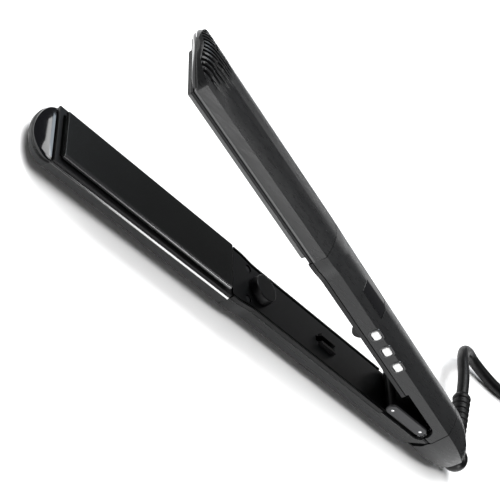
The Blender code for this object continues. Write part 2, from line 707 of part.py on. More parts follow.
def lead_route():
    """The cord's free run from the relief, round to the right and down to the coil's foot."""
    start = relief_end()
    axis = relief_axis()
    clear_of_coil = COIL_MID_R + COIL_WIDE / 2.0 - CORD_D / 2.0 + 7.0
    end = coil_centre() + Vector((-16.0, clear_of_coil, CORD_D / 2.0 + 0.2))
    return [
        start + axis * 0.45,
        start + axis * 8.0,
        start + axis * 15.5 + Vector((0.0, 0.0, -0.6)),
        start + Vector((4.2, 25.9, 1.0)),
        start + Vector((11.1, 37.2, -1.4)),
        start + Vector((22.0, 44.9, -4.9)),
        start + Vector((34.3, 47.6, -8.6)),
        end + Vector((-44.0, -6.4, 0.9)),
        end + Vector((-30.0, -6.8, 0.1)),
        end + Vector((-14.5, -4.6, 0.0)),
        end,
    ]


def smooth_route(points, step):
    """Points a step apart on a Catmull-Rom curve through the route."""
    ends = [points[0] * 2 - points[1]] + points + [points[-1] * 2 - points[-2]]
    fine = []
    for a, b, c, d in zip(ends, ends[1:], ends[2:], ends[3:]):
        for i in range(24):
            t = i / 24.0
            spot = b * 2 + (c - a) * t + (a * 2 - b * 5 + c * 4 - d) * t * t
            fine.append((spot + (b * 3 - a - c * 3 + d) * t ** 3) * 0.5)
    fine.append(points[-1])
    kept, run = [fine[0]], 0.0
    for before, after in zip(fine, fine[1:]):
        run += (after - before).length
        if run >= step:
            kept.append(after)
            run = 0.0
    if (kept[-1] - fine[-1]).length < step * 0.5:
        kept.pop()
    return kept + [fine[-1]]


def tube(name, points, look):
    curve = bpy.data.curves.new(name, "CURVE")
    curve.dimensions = "3D"
    curve.bevel_depth = CORD_D / 2.0 * MM
    curve.bevel_resolution = 3
    curve.use_fill_caps = True
    spline = curve.splines.new("POLY")
    spline.points.add(len(points) - 1)
    for spot, place in zip(spline.points, points):
        spot.co = (*(place * MM), 1.0)
    curve.materials.append(look)
    made = bpy.data.objects.new(name, curve)
    bpy.context.scene.collection.objects.link(made)
    return made


def cord(looks):
    tube("cord_lead", smooth_route(lead_route(), CORD_D * 2.2), looks["rubber"])
    centre = coil_centre()
    inner, outer = COIL_MID_R - COIL_WIDE / 2.0, COIL_MID_R + COIL_WIDE / 2.0
    profile = [(inner, 1.5), (inner + 1.5, 0.0), (outer - 1.5, 0.0), (outer, 1.5)]
    profile += [(outer, COIL_HIGH - 2.0), (outer - 2.0, COIL_HIGH)]
    profile += [(inner + 2.0, COIL_HIGH), (inner, COIL_HIGH - 2.0)]
    bm = bmesh.new()
    steps = 40
    rings = []
    for i in range(steps):
        angle = 2.0 * math.pi * i / steps
        along = Vector((math.cos(angle), math.sin(angle), 0.0))
        rings.append([bm.verts.new(centre + along * r + Vector((0, 0, z))) for r, z in profile])
    for i, ring in enumerate(rings):
        after = rings[(i + 1) % steps]
        for j in range(len(profile)):
            k = (j + 1) % len(profile)
            bm.faces.new((ring[j], ring[k], after[k], after[j]))
    finish_piece("cord_coil", bm, looks["rubber"])


def plug(looks):
    """A two-pin plug that lies on its side next to the coil."""
    centre = coil_centre()
    near = centre.y - COIL_MID_R - COIL_WIDE / 2.0 - 1.0 - PLUG_WIDE / 2.0
    x0 = centre.x + 10.0
    bm = bmesh.new()
    rings = []
    stations = ((0.42, 0.0), (0.62, 6.0), (1.0, 14.0), (1.0, PLUG_LONG - 2.0), (0.92, PLUG_LONG))
    for share, reach in stations:
        wide = PLUG_WIDE / 2.0 * share
        tall = PLUG_TALL / 2.0 * (share if share > 0.9 else share + 0.1)
        corner = min(wide, tall) * 0.35
        ring = []
        for sy, sz, first in ((1, 1, 0), (-1, 1, 1), (-1, -1, 0), (1, -1, 1)):
            points = [(wide, tall - corner), (wide - corner, tall)]
            for y, z in (points if first == 0 else points[::-1]):
                ring.append((x0 - reach, near + sy * y, PLUG_TALL / 2.0 + sz * z))
        rings.append(ring)
    add_loft(bm, rings)
    finish_piece("plug_body", bm, looks["rubber"])
    blade = ((-0.75, -3.1), (0.75, -3.1), (0.75, 3.1), (-0.75, 3.1))
    ends = (x0 - PLUG_LONG - GAP, x0 - PLUG_LONG - 17.0)
    for name, side in (("plug_blade_left", -1), ("plug_blade_right", 1)):
        bm = bmesh.new()
        y = near + side * 6.35
        add_loft(bm, [[(x, y + a, PLUG_TALL / 2.0 + b) for a, b in blade] for x in ends])
        finish_piece(name, bm, looks["steel"])


def main():
    for old in list(bpy.data.objects):
        bpy.data.objects.remove(old, do_unlink=True)
    looks = {
        "casing": material("satin_grey_casing", (0.035, 0.035, 0.037), 0.42),
        "frame": material("black_inner_plastic", (0.012, 0.012, 0.013), 0.38),
        "plate": material("coated_plate", (0.016, 0.017, 0.017), 0.3, 0.2),
        "gloss": material("gloss_black", (0.006, 0.006, 0.008), 0.08),
        "badge": material("badge_grey", (0.05, 0.05, 0.052), 0.3, 0.4),
        "button": material("white_button", (0.82, 0.82, 0.82), 0.35),
        "steel": material("bright_steel", (0.6, 0.6, 0.6), 0.25, 1.0),
        "ceramic": material("ceramic", (0.75, 0.73, 0.68), 0.6),
        "board": material("circuit_board", (0.02, 0.12, 0.06), 0.5),
        "rubber": material("cord_rubber", (0.012, 0.012, 0.012), 0.55),
    }
    control = frame("control_arm_frame", Matrix.Rotation(OPEN_ANGLE, 4, "Y"))
    lower = frame("lower_arm_frame", Matrix.Rotation(math.pi, 4, "X"))
    for arm, parent in (("control", control), ("lower", lower)):
        plate(arm, parent, looks["plate"])
        heater(arm, parent, looks["ceramic"], looks["steel"])
    control_arm(control, looks)
    lower_arm(lower, looks)
    tail_housing(control, looks["casing"])
    end_ring(control, looks["steel"])
    hinge_bracket(control, looks["steel"])
    hinge_pin(control, looks["steel"])
    opening_spring(control, looks["steel"])
    swivel(control, looks)
    strain_relief(looks["rubber"])
    cord(looks)
    plug(looks)


main()
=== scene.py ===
"""The flat iron's finished look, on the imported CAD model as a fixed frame. Lengths are in metres,
and the helper functions for outlines work in millimetres, in an arm's own axes: u from the hinge to
the tip, y across, h outward from the plane where the plates meet."""

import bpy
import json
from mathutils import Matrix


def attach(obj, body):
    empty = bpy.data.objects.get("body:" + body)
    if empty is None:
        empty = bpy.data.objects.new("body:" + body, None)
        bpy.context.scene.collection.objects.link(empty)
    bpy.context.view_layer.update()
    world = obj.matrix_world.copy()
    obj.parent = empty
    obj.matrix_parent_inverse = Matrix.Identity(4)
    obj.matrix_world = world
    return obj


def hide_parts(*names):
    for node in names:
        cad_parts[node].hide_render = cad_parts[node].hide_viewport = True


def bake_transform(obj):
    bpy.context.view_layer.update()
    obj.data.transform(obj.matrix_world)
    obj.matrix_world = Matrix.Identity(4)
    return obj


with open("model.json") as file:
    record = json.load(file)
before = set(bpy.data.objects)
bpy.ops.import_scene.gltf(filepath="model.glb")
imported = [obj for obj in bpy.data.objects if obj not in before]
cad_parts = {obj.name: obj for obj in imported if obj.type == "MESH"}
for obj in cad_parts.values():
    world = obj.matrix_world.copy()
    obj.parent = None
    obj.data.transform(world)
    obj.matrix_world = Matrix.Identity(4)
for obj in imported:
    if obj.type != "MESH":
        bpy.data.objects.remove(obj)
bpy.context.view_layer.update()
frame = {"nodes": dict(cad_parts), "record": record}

import json
import math

import bmesh
import bpy
from mathutils import Matrix, Vector

MM = 0.001

# Sizes are in millimetres.
OPEN_ANGLE = math.radians(13.1)
PIVOT = Vector((109.7, 0.0, 16.0))
AXIS_H = 1.6                    # height of the swivel's ball in the control arm's axes
BALL_U, BALL_R = -39.2, 6.7
RELIEF_GAP = 0.25               # between the ball and the strain relief
RELIEF_LENGTH = 34.0
CORD_D = 6.5
FLOOR_GAP = 0.2                 # under the cord where it lies on the table
COIL_MID_R, COIL_WIDE = 36.0, 19.5
COIL_ROWS = (42.5, 36.0, 29.5)  # radii of the coil's turns
COIL_STEP = 7.5                 # degrees between points of the coil
LAYER = 6.33                    # height from one layer of the coil to the next
STRAP = 0.6                     # thickness of the coil's tie
PLUG_WIDE, PLUG_TALL = 24.0, 17.0
PLUG_BEND_R = 30.0              # bend of the cord on its way to the plug

CONTROL = Matrix.Translation(PIVOT) @ Matrix.Rotation(OPEN_ANGLE, 4, "Y")
LOWER = Matrix.Translation(PIVOT) @ Matrix.Rotation(math.pi, 4, "X")


def smooth(t):
    t = min(max(t, 0.0), 1.0)
    return t * t * (3.0 - 2.0 * t)


# ---- Camera ----
def make_camera():
    """A long lens from the near side and above, rolled so that the iron stands up in the frame."""
    place = PIVOT * MM + Vector((-0.5410, -0.4494, 0.3215))
    back = Vector((-0.580, -0.671, 0.462)).normalized()
    right = Vector((0.629, -0.008, 0.777))
    right = (right - back * right.dot(back)).normalized()
    up = back.cross(right)
    data = bpy.data.cameras.new("camera")
    data.sensor_width = 36.0
    data.lens = 110.8
    data.clip_start = 0.01
    camera = bpy.data.objects.new("camera", data)
    camera.matrix_world = Matrix((
        (right.x, up.x, back.x, place.x),
        (right.y, up.y, back.y, place.y),
        (right.z, up.z, back.z, place.z),
        (0.0, 0.0, 0.0, 1.0),
    ))
    bpy.context.scene.collection.objects.link(camera)
    bpy.context.scene.camera = camera


# ---- Materials ----
NOISE_LOW, NOISE_HIGH = 0.3, 0.7    # nearly all of a noise texture's values lie between these


class Look:
    """A Principled material with helpers for its procedural detail."""

    def __init__(self, name, colour, roughness, metallic=0.0, **uniform):
        self.material = bpy.data.materials.new(name)
        self.material.use_nodes = True
        self.tree = self.material.node_tree
        self.shader = self.tree.nodes["Principled BSDF"]
        self.colour = colour
        self.roughness = roughness
        self.shader.inputs["Base Color"].default_value = (*colour, 1.0)
        self.shader.inputs["Roughness"].default_value = roughness
        self.shader.inputs["Metallic"].default_value = metallic
        for socket, value in uniform.items():
            self.shader.inputs[socket.replace("_", " ")].default_value = value
        self.height = None

    def node(self, kind, **values):
        made = self.tree.nodes.new(kind)
        for socket, value in values.items():
            made.inputs[socket].default_value = value
        return made

    def place(self, stretch):
        coordinates = self.node("ShaderNodeTexCoord")
        mapping = self.node("ShaderNodeMapping")
        mapping.inputs["Scale"].default_value = stretch
        self.tree.links.new(coordinates.outputs["Object"], mapping.inputs["Vector"])
        return mapping.outputs["Vector"]

    def noise(self, scale, detail=3.0, stretch=(1.0, 1.0, 1.0)):
        texture = self.node("ShaderNodeTexNoise", Scale=scale, Detail=detail, Roughness=0.55)
        self.tree.links.new(self.place(stretch), texture.inputs["Vector"])
        return texture.outputs["Fac"]

    def ranged(self, value, low, high):
        node = self.node("ShaderNodeMapRange")
        node.inputs["From Min"].default_value = NOISE_LOW
        node.inputs["From Max"].default_value = NOISE_HIGH
        node.inputs["To Min"].default_value = low
        node.inputs["To Max"].default_value = high
        self.tree.links.new(value, node.inputs["Value"])
        return node.outputs["Result"]

    def vary_roughness(self, value, spread):
        low, high = self.roughness - spread, self.roughness + spread
        self.tree.links.new(self.ranged(value, low, high), self.shader.inputs["Roughness"])

    def vary_colour(self, value, spread):
        """Colour that drifts a little lighter and darker."""
        ramp = self.node("ShaderNodeValToRGB")
        ramp.color_ramp.elements[0].position = NOISE_LOW
        ramp.color_ramp.elements[1].position = NOISE_HIGH
        for element, gain in zip(ramp.color_ramp.elements, (1.0 - spread, 1.0 + spread)):
            element.color = (*[channel * gain for channel in self.colour], 1.0)
        self.tree.links.new(value, ramp.inputs["Fac"])
        self.tree.links.new(ramp.outputs["Color"], self.shader.inputs["Base Color"])

    def bump(self, value, strength, distance):
        node = self.node("ShaderNodeBump", Strength=strength, Distance=distance)
        self.tree.links.new(value, node.inputs["Height"])
        if self.height:
            self.tree.links.new(self.height, node.inputs["Normal"])
        self.height = node.outputs["Normal"]
        self.tree.links.new(self.height, self.shader.inputs["Normal"])


ALONG = (0.06, 1.0, 1.0)     # stretches a texture along the arms


def make_looks():
    looks = {}
    casing = Look("brushed_casing", (0.010, 0.0103, 0.0108), 0.31, 0.0, Specular_IOR_Level=0.27)
    casing.vary_roughness(casing.noise(900.0, 4.0, ALONG), 0.07)
    casing.vary_colour(casing.noise(60.0, 3.0), 0.10)
    casing.bump(casing.noise(1400.0, 3.0, ALONG), 0.035, 0.0001)
    casing.bump(casing.noise(420.0, 2.0), 0.02, 0.0001)
    looks["casing"] = casing

    rim = Look("polished_rim", (0.020, 0.020, 0.021), 0.13, Specular_IOR_Level=1.0)
    rim.vary_roughness(rim.noise(900.0, 3.0, ALONG), 0.03)
    rim.vary_colour(rim.noise(60.0, 3.0), 0.10)
    rim.bump(rim.noise(1200.0, 2.0, ALONG), 0.02, 0.0001)
    looks["rim"] = rim

    inner = Look("black_inner_plastic", (0.0025, 0.0025, 0.0028), 0.33, Specular_IOR_Level=0.2)
    inner.vary_roughness(inner.noise(420.0, 3.0), 0.03)
    inner.vary_colour(inner.noise(45.0), 0.15)
    inner.bump(inner.noise(1500.0, 2.0), 0.015, 0.0001)
    looks["frame"] = inner

    plate = Look("coated_plate", (0.0045, 0.0050, 0.0049), 0.19, 0.0, Specular_IOR_Level=0.35)
    plate.vary_roughness(plate.noise(700.0, 3.0), 0.02)
    plate.vary_colour(plate.noise(70.0), 0.10)
    plate.bump(plate.noise(3000.0, 2.0), 0.04, 0.0001)
    looks["plate"] = plate

    gloss = Look("gloss_black", (0.003, 0.003, 0.004), 0.08)
    gloss.vary_roughness(gloss.noise(140.0, 4.0), 0.02)
    gloss.bump(gloss.noise(90.0, 2.0), 0.015, 0.0001)
    looks["gloss"] = gloss

    badge = Look("badge_grey", (0.020, 0.020, 0.022), 0.34, 0.4)
    badge.vary_roughness(badge.noise(700.0, 4.0, ALONG), 0.06)
    badge.bump(badge.noise(1800.0, 2.0, ALONG), 0.10, 0.0001)
    looks["badge"] = badge

    button = Look("white_button", (0.80, 0.80, 0.79), 0.32, Coat_Weight=0.2, Coat_Roughness=0.1)
    button.vary_roughness(button.noise(400.0), 0.05)
    button.vary_colour(button.noise(120.0), 0.02)
    button.bump(button.noise(2400.0, 2.0), 0.05, 0.0001)
    looks["button"] = button

    steel = Look("bright_steel", (0.58, 0.58, 0.59), 0.24, 1.0)
    steel.vary_roughness(steel.noise(900.0, 4.0, (1.0, 0.1, 1.0)), 0.07)
    steel.vary_colour(steel.noise(150.0), 0.05)
    steel.bump(steel.noise(2200.0, 2.0, (1.0, 0.1, 1.0)), 0.08, 0.0001)
    looks["steel"] = steel

    dark = Look("dark_screw", (0.05, 0.05, 0.052), 0.36, 0.9)
    dark.vary_roughness(dark.noise(900.0, 4.0), 0.07)
    dark.bump(dark.noise(2200.0, 2.0), 0.08, 0.0001)
    looks["dark_steel"] = dark

    ceramic = Look("ceramic_heater", (0.72, 0.70, 0.65), 0.6)
    ceramic.vary_roughness(ceramic.noise(300.0), 0.08)
    ceramic.vary_colour(ceramic.noise(90.0, 5.0), 0.06)
    ceramic.bump(ceramic.noise(1800.0), 0.2, 0.0001)
    looks["ceramic"] = ceramic

    board = Look("circuit_board", (0.018, 0.11, 0.05), 0.42)
    board.vary_roughness(board.noise(250.0), 0.08)
    board.vary_colour(board.noise(800.0, 5.0), 0.35)
    board.bump(board.noise(900.0), 0.2, 0.0001)
    looks["board"] = board

    rubber = Look("cord_rubber", (0.003, 0.003, 0.0033), 0.42, Specular_IOR_Level=0.15)
    rubber.vary_roughness(rubber.noise(220.0, 4.0), 0.08)
    rubber.vary_colour(rubber.noise(60.0), 0.12)
    rubber.bump(rubber.noise(2600.0, 3.0), 0.14, 0.0001)
    looks["rubber"] = rubber
    return looks


def dress(piece, look):
    piece.data.materials.clear()
    piece.data.materials.append(look.material)


# ---- Mesh helpers ----
def as_object(name, bm, smooth_angle=30.0):
    bmesh.ops.recalc_face_normals(bm, faces=bm.faces)
    mesh = bpy.data.meshes.new(name)
    bm.to_mesh(mesh)
    bm.free()
    mesh.shade_smooth()
    mesh.set_sharp_from_angle(angle=math.radians(smooth_angle))
    made = bpy.data.objects.new(name, mesh)
    bpy.context.scene.collection.objects.link(made)
    return made


def bridge(bm, loops):
    """Joins each loop of points to the next with a band of faces."""
    for before, after in zip(loops, loops[1:]):
        for i in range(len(before)):
            j = (i + 1) % len(before)
            bm.faces.new((before[i], before[j], after[j], after[i]))


def close_ends(bm, loops):
    bm.faces.new(loops[0])
    bm.faces.new(loops[-1])


# ---- Cord, along the CAD's own route ----
def ball_centre():
    c, s = math.cos(OPEN_ANGLE), math.sin(OPEN_ANGLE)
    x, z = -BALL_U, AXIS_H
    return PIVOT + Vector((x * c + z * s, 0.0, -x * s + z * c))


def relief_axis():
    return Vector((0.12, 1.0, 0.15)).normalized()


def relief_end():
    return ball_centre() + relief_axis() * (BALL_R + RELIEF_GAP + RELIEF_LENGTH)


def coil_centre():
    return Vector((PIVOT.x + 152.0, 44.0, 0.0))


def lead_route():
    start = relief_end()
    axis = relief_axis()
    clear_of_coil = COIL_MID_R + COIL_WIDE / 2.0 - CORD_D / 2.0 + 7.0
    end = coil_centre() + Vector((-16.0, clear_of_coil, CORD_D / 2.0 + FLOOR_GAP))
    return [
        start + axis * 0.45,
        start + axis * 8.0,
        start + axis * 15.5 + Vector((0.0, 0.0, -0.6)),
        start + Vector((4.2, 25.9, 1.0)),
        start + Vector((11.1, 37.2, -1.4)),
        start + Vector((22.0, 44.9, -4.9)),
        start + Vector((34.3, 47.6, -8.6)),
        end + Vector((-44.0, -6.4, 0.9)),
        end + Vector((-30.0, -6.8, 0.1)),
        end + Vector((-14.5, -4.6, 0.0)),
        end,
    ]


def smooth_route(points, steps=12):
    """A Catmull-Rom curve through the route's points."""
    ends = [points[0] * 2 - points[1]] + points + [points[-1] * 2 - points[-2]]
    fine = []
    for a, b, c, d in zip(ends, ends[1:], ends[2:], ends[3:]):
        for i in range(steps):
            t = i / steps
            spot = b * 2 + (c - a) * t + (a * 2 - b * 5 + c * 4 - d) * t * t
            fine.append((spot + (b * 3 - a - c * 3 + d) * t ** 3) * 0.5)
    return fine + [points[-1]]


def coil_route():
    """Turns beside and on each other. Shifts in one layer share a sector, and each rise to the next
    layer has its own, so that no turn meets another."""
    outer, middle, inner = COIL_ROWS
    low = CORD_D / 2.0 + FLOOR_GAP + STRAP
    shifts = [      # (starts at, ends at, radius after it, layer after it), in degrees clockwise
        (0, 70, outer, 0), (360, 430, middle, 0), (720, 790, inner, 0),
        (1010, 1080, inner, 1), (1300, 1370, middle, 1), (1660, 1730, outer, 1),
        (1950, 2020, outer, 2), (2240, 2310, middle, 2), (2600, 2670, inner, 2),
        (2890, 2960, inner, 3), (3180, 3250, middle, 3), (3540, 3610, outer, 3),
    ]
    centre = coil_centre()
    start = lead_route()[-1] - centre
    start_angle = math.degrees(math.atan2(start.y, start.x))
    radius, layer = math.hypot(start.x, start.y), 0
    last_turn = 3600.0 + start_angle
    points, turned = [], 0.0
    while turned <= last_turn:
        at_radius, at_layer = radius, float(layer)
        for begin, end, next_radius, next_layer in shifts:
            if turned >= end:
                at_radius, at_layer = next_radius, float(next_layer)
            elif turned > begin:
                share = smooth((turned - begin) / (end - begin))
                at_radius += (next_radius - at_radius) * share
                at_layer += (next_layer - at_layer) * share
        angle = math.radians(start_angle - turned)
        rise = low + at_layer * LAYER - STRAP * (1.0 - smooth(turned / 70.0))
        x, y = at_radius * math.cos(angle), at_radius * math.sin(angle)
        points.append(centre + Vector((x, y, rise)))
        turned += COIL_STEP
    return points


def plug_entry():
    centre = coil_centre()
    across = centre.y - COIL_MID_R - COIL_WIDE / 2.0 - 1.0 - PLUG_WIDE / 2.0
    return Vector((centre.x + 10.0, across, PLUG_TALL / 2.0))


def cord_points():
    """The whole cord: the free run, the coil, and the turn down into the plug."""
    coil = coil_route()
    entry = plug_entry()
    leave = coil[-1]
    drop, aside = 1.6, 0.3
    corner = Vector((leave.x - PLUG_BEND_R, entry.y + PLUG_BEND_R, 0.0))
    tail = []
    for share in (0.34, 0.67, 1.0):
        y = leave.y + (corner.y - leave.y) * share
        tail.append(Vector((leave.x - aside * share, y, leave.z - drop * smooth(share))))
    start_z = leave.z - drop
    for degrees in range(12, 91, 13):
        angle = math.radians(degrees)
        x = corner.x + (PLUG_BEND_R - aside) * math.cos(angle)
        y = corner.y - PLUG_BEND_R * math.sin(angle)
        z = start_z + (entry.z - start_z) * smooth(degrees / 90.0)
        tail.append(Vector((x, y, z)))
    tail.append(Vector((entry.x + aside, entry.y, entry.z)))
    return smooth_route(lead_route()) + coil[1:] + smooth_route([coil[-1]] + tail, 4)[1:]


def swept(name, points, radius, sides=14):
    """A tube along points, in millimetres, with a frame that doesn't twist."""
    bm = bmesh.new()
    rings = []
    across = None
    for i, point in enumerate(points):
        before, after = points[max(i - 1, 0)], points[min(i + 1, len(points) - 1)]
        along = (after - before).normalized()
        across = across or along.orthogonal()
        across = (across - along * across.dot(along)).normalized()
        side = along.cross(across)
        ring = []
        for j in range(sides):
            angle = 2.0 * math.pi * j / sides
            spot = point + (across * math.cos(angle) + side * math.sin(angle)) * radius
            ring.append(bm.verts.new(spot * MM))
        rings.append(ring)
    bridge(bm, rings)
    close_ends(bm, rings)
    return as_object(name, bm)


def make_cord(looks):
    """One tube for the lead and the coil, good at rest only: it pinches at a quarter turn of the swivel
    and tears at a half turn."""
    points = cord_points()
    cord = swept("mains_cord", points, CORD_D / 2.0)
    dress(cord, looks["rubber"])
    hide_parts("cord_lead", "cord_coil")
    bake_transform(cord)

    tie = coil_tie(looks)


def coil_tie(looks):
    """A flat strap round the coil's turns, across the side away from the iron."""
    centre = coil_centre()
    inner, outer = COIL_MID_R - COIL_WIDE / 2.0 - 0.5, COIL_MID_R + COIL_WIDE / 2.0 + 0.1
    top = STRAP + CORD_D + 3.0 * LAYER + 0.9
    section = []
    for r, z, first in ((outer, 0.0, 0), (outer, top, 90), (inner, top, 180), (inner, 0.0, 270)):
        rounding = 2.4
        cx = r - rounding if r == outer else r + rounding
        cz = z + rounding if z == 0.0 else z - rounding
        for step in range(6):
            angle = math.radians(first - 90 + 18 * step)
            section.append((cx + rounding * math.cos(angle), cz + rounding * math.sin(angle)))
    middle_r, middle_z = (inner + outer) / 2.0, top / 2.0
    bm = bmesh.new()
    rings = []
    for across in (-3.5, 3.5):
        for grow in (0.0, STRAP):
            ring = []
            for r, z in section:
                share_r = 1.0 - 2.0 * grow / (outer - inner)
                share_z = 1.0 - 2.0 * grow / top
                x = centre.x + (middle_r + (r - middle_r) * share_r)
                z_in = middle_z + (z - middle_z) * share_z
                ring.append(bm.verts.new(Vector((x, centre.y + across, z_in)) * MM))
            rings.append(ring)
    low_out, low_in, high_out, high_in = rings
    bridge(bm, [low_out, high_out, high_in, low_in, low_out])
    tie = as_object("coil_tie", bm)
    dress(tie, looks["rubber"])
    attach(tie, "control_arm")
    return tie


# ---- Pieces refined from their CAD nodes ----
refined_pieces = {}


def body_of_node(name):
    for body, nodes in frame["record"]["behaviour"]["bodies"].items():
        if name in nodes:
            return body
    raise KeyError(name)


def slot_of_node(name):
    for part in frame["record"]["subparts"]:
        if part["node"] == name:
            return part["material_slot"]
    raise KeyError(name)


def clean_copy(node, name):
    """The node's shape as a new object with whole flat faces, ready for rounding."""
    bm = bmesh.new()
    bm.from_mesh(frame["nodes"][node].data)
    bmesh.ops.remove_doubles(bm, verts=bm.verts, dist=2e-6)
    bmesh.ops.dissolve_limit(bm, angle_limit=math.radians(1.2), verts=bm.verts, edges=bm.edges)
    bmesh.ops.recalc_face_normals(bm, faces=bm.faces)
    mesh = bpy.data.meshes.new(name)
    bm.to_mesh(mesh)
    bm.free()
    mesh.shade_smooth()
    made = bpy.data.objects.new(name, mesh)
    bpy.context.scene.collection.objects.link(made)
    return made


def apply_modifiers(piece):
    graph = bpy.context.evaluated_depsgraph_get()
    baked = bpy.data.meshes.new_from_object(piece.evaluated_get(graph))
    piece.modifiers.clear()
    piece.data = baked


def carve(piece, cutters):
    """Cuts shapes away from a piece, then drops the cutters."""
    for cutter in cutters:
        modifier = piece.modifiers.new("carve", "BOOLEAN")
        modifier.operation = "DIFFERENCE"
        modifier.object = cutter
        modifier.solver = "EXACT"
    apply_modifiers(piece)
    for cutter in cutters:
        bpy.data.objects.remove(cutter, do_unlink=True)


def even_shading(piece):
    """Keeps flat faces flat and lets only the rounded edges turn the light."""
    piece.data.shade_smooth()
    piece.data.set_sharp_from_angle(angle=math.radians(38.0))
    modifier = piece.modifiers.new("even_shading", "WEIGHTED_NORMAL")
    modifier.keep_sharp = True
    modifier.weight = 90
    apply_modifiers(piece)


def round_edges(piece, width):
    modifier = piece.modifiers.new("rounding", "BEVEL")
    modifier.width = width * MM
    modifier.segments = 3
    modifier.limit_method = "ANGLE"
    modifier.angle_limit = math.radians(24.0)
    modifier.use_clamp_overlap = True
    modifier.harden_normals = False
    apply_modifiers(piece)


def refine(node, looks, width, look, cutters):
    piece = clean_copy(node, f"{node}_detail")
    round_edges(piece, width)
    if cutters:
        carve(piece, cutters)
    even_shading(piece)
    dress(piece, looks[look])
    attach(piece, body_of_node(node))
    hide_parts(node)
    refined_pieces[node] = piece


def arm_prism(arm, outline, y0, y1):
    """A closed prism of an outline in (u, h) across an arm, in its world place."""
    bm = bmesh.new()
    rings = []
    for y in (y0, y1):
        rings.append([bm.verts.new((arm @ Vector((-u, y, h))) * MM) for u, h in outline])
    bridge(bm, rings)
    close_ends(bm, rings)
    return as_object("prism", bm)


# ---- The control barrel's vents ----
ARM_DEPTH, TIP_U, SEAM_U = 16.0, 264.6, 146.3
TAPER_END_U, BARREL_TAPER = 238.0, 1.2
TIP_FALL_U, TIP_ROUND_U = 252.0, 256.5
TIP_HALF = 15.95
FOOT_H = 4.6                    # where the cover's side facet starts
VENT_COUNT, VENT_PITCH = 12, 2.15
VENT_WIDE, VENT_DEEP = 1.30, 0.95


def barrel_depth(u):
    """The barrel's depth along its length, as the CAD has it."""
    taper = min(max((u - SEAM_U) / (TAPER_END_U - SEAM_U), 0.0), 1.0)
    lead = max(u - TIP_FALL_U, 0.0) / (TIP_U - TIP_FALL_U)
    along = max(u - TIP_ROUND_U, 0.0) / (TIP_U - TIP_ROUND_U + 0.2)
    nose = 1.0 - math.sqrt(max(1.0 - along * along, 0.0))
    return ARM_DEPTH - BARREL_TAPER * taper - 0.9 * lead ** 1.5 - 3.4 * nose


def barrel_half(u):
    along = max(u - TIP_ROUND_U, 0.0) / (TIP_U - TIP_ROUND_U + 0.25)
    return TIP_HALF * math.sqrt(max(1.0 - along * along, 0.02))


def barrel_surface(u, y):
    """Height of the faceted outer face at (u, y)."""
    half, depth = barrel_half(u), barrel_depth(u)
    foot = FOOT_H if u < TIP_ROUND_U else 5.6 + 3.9 * (u - TIP_ROUND_U) / (TIP_U - TIP_ROUND_U)
    squeeze = (depth - foot) / (ARM_DEPTH - FOOT_H)
    outline = [(half, foot + squeeze), (half * 0.925, foot + (ARM_DEPTH * 0.69 - FOOT_H) * squeeze),
               (half * 0.62, foot + (ARM_DEPTH * 0.87 - FOOT_H) * squeeze), (half * 0.255, depth)]
    for (far_y, far_h), (near_y, near_h) in zip(outline, outline[1:]):
        if abs(y) >= near_y:
            share = min((far_y - abs(y)) / (far_y - near_y), 1.0)
            return far_h + (near_h - far_h) * share
    return depth


def vent_cutter(arm, y, wide, deep):
    """One slot that starts behind the rim, follows the nose and fades out on the outer face."""
    fade_u = 242.5 + 0.20 * abs(y)
    end_u = fade_u
    while barrel_half(end_u + 0.05) > abs(y) + 0.9 and end_u < TIP_U - 0.9:
        end_u += 0.05
    line = []
    steps = 26
    for i in range(steps + 1):
        u = fade_u + (end_u - fade_u) * (1.0 - (1.0 - i / steps) ** 1.6)
        line.append(Vector((u, barrel_surface(u, y))))
    inner, outer = [], []
    for i, spot in enumerate(line):
        run = (line[min(i + 1, steps)] - line[max(i - 1, 0)]).normalized()
        outward = Vector((-run.y, run.x))
        depth = -0.12 + (deep + 0.12) * smooth((spot.x - fade_u) / 9.0)
        inner.append(spot - outward * depth)
        outer.append(spot + outward * 1.6)
    outline = inner + outer[::-1]
    return arm_prism(arm, [tuple(spot) for spot in outline], y - wide / 2.0, y + wide / 2.0)


def vent_cutters(arm):
    middle = (VENT_COUNT - 1) / 2.0
    return [vent_cutter(arm, (i - middle) * VENT_PITCH, VENT_WIDE, VENT_DEEP) for i in range(VENT_COUNT)]


def refine_all(looks):
    widths = {
        "control_barrel_cover": 0.45, "lower_barrel_cover": 0.45,
        "control_handle_cover": 0.45, "lower_handle_cover": 0.45, "tail_housing": 0.45,
        "control_plate_frame": 0.2, "lower_plate_frame": 0.2,
        "control_inner_cover": 0.22, "lower_inner_cover": 0.22,
        "control_plate": 0.16, "lower_plate": 0.16,
        "lower_boss": 0.45, "lower_hinge_core": 0.25, "side_badge_near": 0.2, "side_badge_far": 0.2,
        "button_power": 0.3, "button_plus": 0.3, "button_minus": 0.3,
        "display_window": 0.2, "end_ring": 0.2, "cord_swivel": 0.15, "strain_relief": 0.18,
        "plug_body": 0.6, "plug_blade_left": 0.25, "plug_blade_right": 0.25,
        "hinge_bracket": 0.15, "hinge_pin": 0.2,
        "control_cover_screw_left": 0.2, "control_cover_screw_right": 0.2,
        "lower_cover_screw_left": 0.2, "lower_cover_screw_right": 0.2,
        "control_heater_bracket": 0.1, "lower_heater_bracket": 0.1,
    }
    for node, width in widths.items():
        cutters = vent_cutters(CONTROL) if node == "control_barrel_cover" else ()
        look = "dark_steel" if "screw" in node else slot_of_node(node)
        refine(node, looks, width, look, cutters)


# ---- Small added pieces ----
HANDLE_HALF = 13.3
RIM_TOP_H = 5.75                # the polished edge of a cover ends here
PLATE_EDGE_Y = 11.95            # the plate's rounded edge starts here


